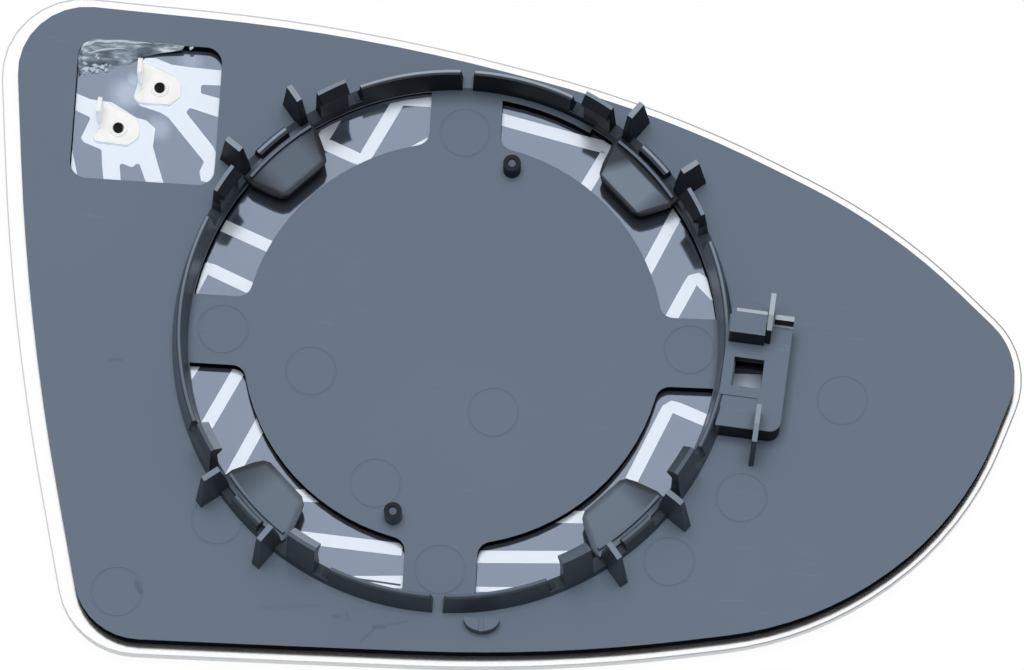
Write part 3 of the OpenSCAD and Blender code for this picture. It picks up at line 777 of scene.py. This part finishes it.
def makeGlassEdge():
    # The ground line along the back edge of the glass, kept inside its outline
    tree = treeOf("groundEdge")
    keys = inlets(tree, {"Width": glass["edgeWidth"] * mm, "Thickness": glass["edgeThick"] * mm,
                         "Glass": "Object", "Ground": "Material"})
    source = tree.nodes.new("NodeGroupInput").outputs
    info = geo(tree, "GeometryNodeObjectInfo", {"transform_space": "RELATIVE"},
               {"Object": source["Glass"]})
    whole = geo(tree, "GeometryNodeMergeByDistance", {},
                {"Geometry": info.outputs["Geometry"], "Distance": glass["weld"] * mm})
    bend = tree.nodes.new("GeometryNodeInputMeshEdgeAngle")
    sharp = geo(tree, "FunctionNodeCompare", {"data_type": "FLOAT", "operation": "GREATER_THAN"},
                {"A": bend.outputs["Unsigned Angle"], "B": glass["edgeAngle"]})
    place = tree.nodes.new("GeometryNodeInputPosition")
    flatPlace = geo(tree, "ShaderNodeVectorMath", {"operation": "MULTIPLY"},
                    {0: place.outputs[0], 1: (1, 1, 0)})
    reach2 = geo(tree, "ShaderNodeVectorMath", {"operation": "DOT_PRODUCT"},
                 {0: flatPlace.outputs[0], 1: flatPlace.outputs[0]})
    parts = geo(tree, "ShaderNodeSeparateXYZ", {}, {0: place.outputs[0]})
    height = geo(tree, "ShaderNodeMath", {"operation": "MULTIPLY_ADD"},
                 {0: reach2.outputs["Value"], 1: -1 / (2 * curveRadius), 2: parts.outputs["Z"]})
    upper = geo(tree, "FunctionNodeCompare", {"data_type": "FLOAT", "operation": "GREATER_THAN"},
                {"A": height.outputs[0], "B": glass["edgeFloor"] * mm})
    edge = geo(tree, "FunctionNodeBooleanMath", {"operation": "AND"},
               {0: sharp.outputs[0], 1: upper.outputs[0]})
    loop = geo(tree, "GeometryNodeMeshToCurve", {},
               {"Mesh": whole.outputs[0], "Selection": edge.outputs[0]})
    level = geo(tree, "GeometryNodeSetCurveNormal", {"mode": "Z_UP"}, {"Curve": loop.outputs[0]})
    inward = geo(tree, "ShaderNodeMath", {"operation": "MULTIPLY_ADD"},
                 {0: source["Width"], 1: 0.5, 2: glass["edgeInset"] * mm})
    shift = geo(tree, "ShaderNodeCombineXYZ", {}, {"X": inward.outputs[0]})
    strip = geo(tree, "GeometryNodeCurvePrimitiveQuadrilateral", {"mode": "RECTANGLE"},
                {"Width": source["Width"], "Height": source["Thickness"]})
    moved = geo(tree, "GeometryNodeTransform", {},
                {"Geometry": strip.outputs[0], "Translation": shift.outputs[0]})
    swept = geo(tree, "GeometryNodeCurveToMesh", {},
                {"Curve": level.outputs[0], "Profile Curve": moved.outputs[0]})
    close(tree, swept.outputs[0], source["Ground"])
    bake("glass_edge", linesMesh("edgePlan", [[(0, 0)]]), tree, keys,
         {"Glass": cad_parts["mirror_glass"], "Ground": groundGlass()})


# Clear glue over the upper left corner of the square window: its upper and lower edge, in mm
glue = {"upper": [(-69.2, 48.9, 2.9), (-68.5, 50.9, 2.95), (-66.6, 52.0, 2.93), (-64, 52.1, 2.85),
                  (-60.5, 52.1, 2.7), (-57, 52.0, 2.5), (-53.4, 51.9, 2.3), (-50.6, 51.7, 2.1)],
        "lower": [(-69.1, 45.4, 0.2), (-68.4, 46.0, -0.1), (-66.2, 46.2, -0.2), (-64, 46.9, -0.2),
                  (-60.9, 48.1, -0.2), (-58.4, 49.8, 0.3), (-55, 50.6, 0.8), (-51, 51.2, 1.4)],
        "thick": 0.14, "across": 10, "along": 44, "wave": 0.8, "waveSize": 2.6,
        "reflectionStreaks": [(0.30, srgb(52, 64, 78)), (0.45, srgb(120, 134, 150)),
                    (0.55, srgb(165, 180, 196)), (0.64, srgb(235, 244, 252))],
        "white": srgb(218, 229, 241), "grey": srgb(160, 177, 194),
        "strandSteps": 26, "strandSides": 8, "sway": 0.08, "sink": 0.04,
        "flatness": 0.6, "seed": 5, "lumpiness": 1.1, "clumpSize": 0.9, "tilt": 0.7, "turn": 6.3}

# Thicker strands in the film: start and end along it, place across it, thickness in mm
glueStrands = [(0.12, 0.74, 0.07, 0.62), (0.2, 0.55, 0.34, 0.44), (0.05, 0.42, 0.78, 0.4)]

# Lumps: their places and radii in mm; the last, a drop at the film's right end, is a white painted
# glint
glueLumps = [(-68.1, 48.2, 0.6, 0.6), (-67.3, 48.9, 0.9, 0.7), (-66.4, 48.1, 0.6, 0.6),
             (-66.9, 47.1, 0.3, 0.5), (-65.6, 48.7, 0.9, 0.55), (-65.2, 47.6, 0.3, 0.45),
             (-67.9, 47.0, 0.2, 0.5), (-64.5, 48.2, 0.5, 0.42), (-66.2, 49.4, 1.2, 0.45),
             (-65.9, 46.7, 0.1, 0.4), (-64.2, 47.2, 0.2, 0.35), (-63.6, 48.0, 0.4, 0.3),
             (-68.3, 46.2, 0.1, 0.35), (-49.4, 51.5, 1.7, 0.3)]


def clearGlue():
    p = Paint("clearGlue")
    # Painted reflection: the clear glue's colour is streaked from dark blue-grey to near white,
    # standing in for what it reflects
    streak = p.noise(2.6 * mm, 3, 0.6, p.stretched(0.42, 1.5, 1))
    cloud = p.noise(3.5 * mm, 2)
    base = p.add("ShaderNodeValToRGB", {"stops": glue["reflectionStreaks"]}, {0: streak})
    return p.show(p.surface(Base_Color=base, Roughness=0.1 + cloud * 0.12,
                            Alpha=0.72 + p.ease(streak, 0.4, 0.7) * 0.28,
                            Normal=p.bump(streak, 0.3 * mm, 0.6)))


# Painted highlight: white and grey stand in for the glints on the clear glue's strands and lumps
def glueGlints():
    p = Paint("glueGlints")
    cloud = p.noise(0.6 * mm, 2)
    tint = p.blend(cloud, glue["white"], glue["grey"])
    return p.show(p.surface(Base_Color=tint, Roughness=0.15 + cloud * 0.1,
                            Normal=p.bump(cloud, 0.1 * mm, 0.5)))


def alongPath(path, share):
    # Point at a share of a path's number of steps
    at = share * (len(path) - 1)
    i = min(int(at), len(path) - 2)
    a, b = Vector(path[i]), Vector(path[i + 1])
    return (a + (b - a) * (at - i)) * mm


def onFilm(along, across):
    # Point on the wrinkled film, from shares of its length and width
    point = alongPath(glue["upper"], along).lerp(alongPath(glue["lower"], along), across)
    wave = noise.noise(Vector((point.x * 0.5, point.y * 1.4, 7 * mm)) / (glue["waveSize"] * mm))
    point.z += wave * glue["wave"] * mm * math.sin(math.pi * across)
    return point


def makeGlueFilm(material):
    # A wrinkled skin between the two edges, closed to a thin solid
    rows = [[onFilm(i / glue["along"], j / glue["across"]) for j in range(glue["across"] + 1)]
            for i in range(glue["along"] + 1)]
    mesh = bpy.data.meshes.new("glue_film")
    skin = bmesh.new()
    sides = []
    for drop in (0, glue["thick"] * mm):
        sides.append([[skin.verts.new(p - Vector((0, 0, drop))) for p in row] for row in rows])
    top, low = sides
    for i in range(glue["along"]):
        for j in range(glue["across"]):
            skin.faces.new((top[i][j], top[i][j + 1], top[i + 1][j + 1], top[i + 1][j]))
            skin.faces.new((low[i][j], low[i + 1][j], low[i + 1][j + 1], low[i][j + 1]))
    for i in range(glue["along"]):
        for j in (0, glue["across"]):
            skin.faces.new((top[i][j], top[i + 1][j], low[i + 1][j], low[i][j]))
    for j in range(glue["across"]):
        for i in (0, glue["along"]):
            skin.faces.new((top[i][j], top[i][j + 1], low[i][j + 1], low[i][j]))
    bmesh.ops.recalc_face_normals(skin, faces=skin.faces)
    for face in skin.faces:
        face.smooth = True
    skin.to_mesh(mesh)
    skin.free()
    mesh.materials.append(material)
    keep("glue_film", mesh)


def makeGlueStrands(material):
    # Tubes that run in the film and thin out towards both ends
    tree = treeOf("glueStrands")
    keys = inlets(tree, {"Sides": glue["strandSides"], "White": "Material"})
    source = tree.nodes.new("NodeGroupInput").outputs
    thickness = geo(tree, "GeometryNodeInputNamedAttribute", {"data_type": "FLOAT"},
                    {"Name": "thickness"})
    line = geo(tree, "GeometryNodeMeshToCurve", {}, {"Mesh": source["Geometry"]})
    ring = geo(tree, "GeometryNodeCurvePrimitiveCircle", {"mode": "RADIUS"},
               {"Resolution": source["Sides"], "Radius": 0.5})
    tube = geo(tree, "GeometryNodeCurveToMesh", {},
               {"Curve": line.outputs[0], "Profile Curve": ring.outputs[0],
                "Scale": thickness.outputs[0], "Fill Caps": True})
    close(tree, tube.outputs[0], source["White"], smooth=True)
    steps = glue["strandSteps"]
    lines, widths = [], []
    for start, end, across, width in glueStrands:
        line = []
        for k in range(steps + 1):
            share = start + (end - start) * k / steps
            sway = noise.noise(Vector((share * 9, across * 5, 3))) * glue["sway"]
            point = onFilm(share, across + sway) / mm
            line.append((point.x, point.y, point.z - glue["sink"]))
            widths.append(width * mm * (0.25 + 0.75 * math.sin(math.pi * k / steps)))
        lines.append(line)
    plan = linesMesh("strandPlan", lines)
    sizes = plan.data.attributes.new("thickness", "FLOAT", "POINT")
    for i, width in enumerate(widths):
        sizes.data[i].value = width
    bake("glue_strands", plan, tree, keys, {"White": material})


def makeGlueLumps(material):
    # A knot of small lumps, each pressed flat, at the film's left end
    tree = treeOf("glueLumps")
    keys = inlets(tree, {"Flatness": glue["flatness"], "Seed": glue["seed"],
                         "Lumpiness": glue["lumpiness"] * mm, "White": "Material"})
    source = tree.nodes.new("NodeGroupInput").outputs
    size = geo(tree, "GeometryNodeInputNamedAttribute", {"data_type": "FLOAT"}, {"Name": "size"})
    ball = geo(tree, "GeometryNodeMeshIcoSphere", {}, {"Radius": 1.0, "Subdivisions": 3})
    flat = geo(tree, "ShaderNodeCombineXYZ", {}, {"X": 1.0, "Y": 1.0, "Z": source["Flatness"]})
    pressed = geo(tree, "GeometryNodeTransform", {},
                  {"Geometry": ball.outputs[0], "Scale": flat.outputs[0]})
    spin = geo(tree, "FunctionNodeRandomValue", {"data_type": "FLOAT_VECTOR"},
               {0: (-glue["tilt"], -glue["tilt"], 0.0),
                1: (glue["tilt"], glue["tilt"], glue["turn"]), "Seed": source["Seed"]})
    placed = geo(tree, "GeometryNodeInstanceOnPoints", {},
                 {"Points": source["Geometry"], "Instance": pressed.outputs[0],
                  "Rotation": spin.outputs[0], "Scale": size.outputs[0]})
    real = geo(tree, "GeometryNodeRealizeInstances", {}, {"Geometry": placed.outputs[0]})
    clump = geo(tree, "ShaderNodeTexNoise", {},
                {"Scale": 1 / (glue["clumpSize"] * mm), "Detail": 2.0})
    centred = geo(tree, "ShaderNodeVectorMath", {"operation": "SUBTRACT"},
                  {0: clump.outputs["Color"], 1: (0.5, 0.5, 0.5)})
    push = geo(tree, "ShaderNodeVectorMath", {"operation": "SCALE"},
               {0: centred.outputs[0], "Scale": source["Lumpiness"]})
    lumpy = geo(tree, "GeometryNodeSetPosition", {},
                {"Geometry": real.outputs[0], "Offset": push.outputs[0]})
    close(tree, lumpy.outputs[0], source["White"], smooth=True)
    plan = linesMesh("lumpPlan", [[b[:3]] for b in glueLumps])
    sizes = plan.data.attributes.new("size", "FLOAT", "POINT")
    for i, lump in enumerate(glueLumps):
        sizes.data[i].value = lump[3] * mm
    bake("glue_lumps", plan, tree, keys, {"White": material})


ink = trackInk("trackInk", track)
makeTracks("heater_tracks", trackLines, track["width"], track["thick"], track["lift"], ink)
makeTracks("thin_track", thinLines, track["thinWidth"], track["thick"], track["lift"], ink)
makeTracks("track_crease", creaseLines, crease["width"], crease["thick"], crease["lift"],
           trackInk("creaseShade", crease))
makePads(ink)
makeRivets()
makeGlassEdge()
makeGlueFilm(clearGlue())
glintPaint = glueGlints()
makeGlueStrands(glintPaint)
makeGlueLumps(glintPaint)
print("details placed")

bpy.context.scene.view_settings.view_transform = "Standard"
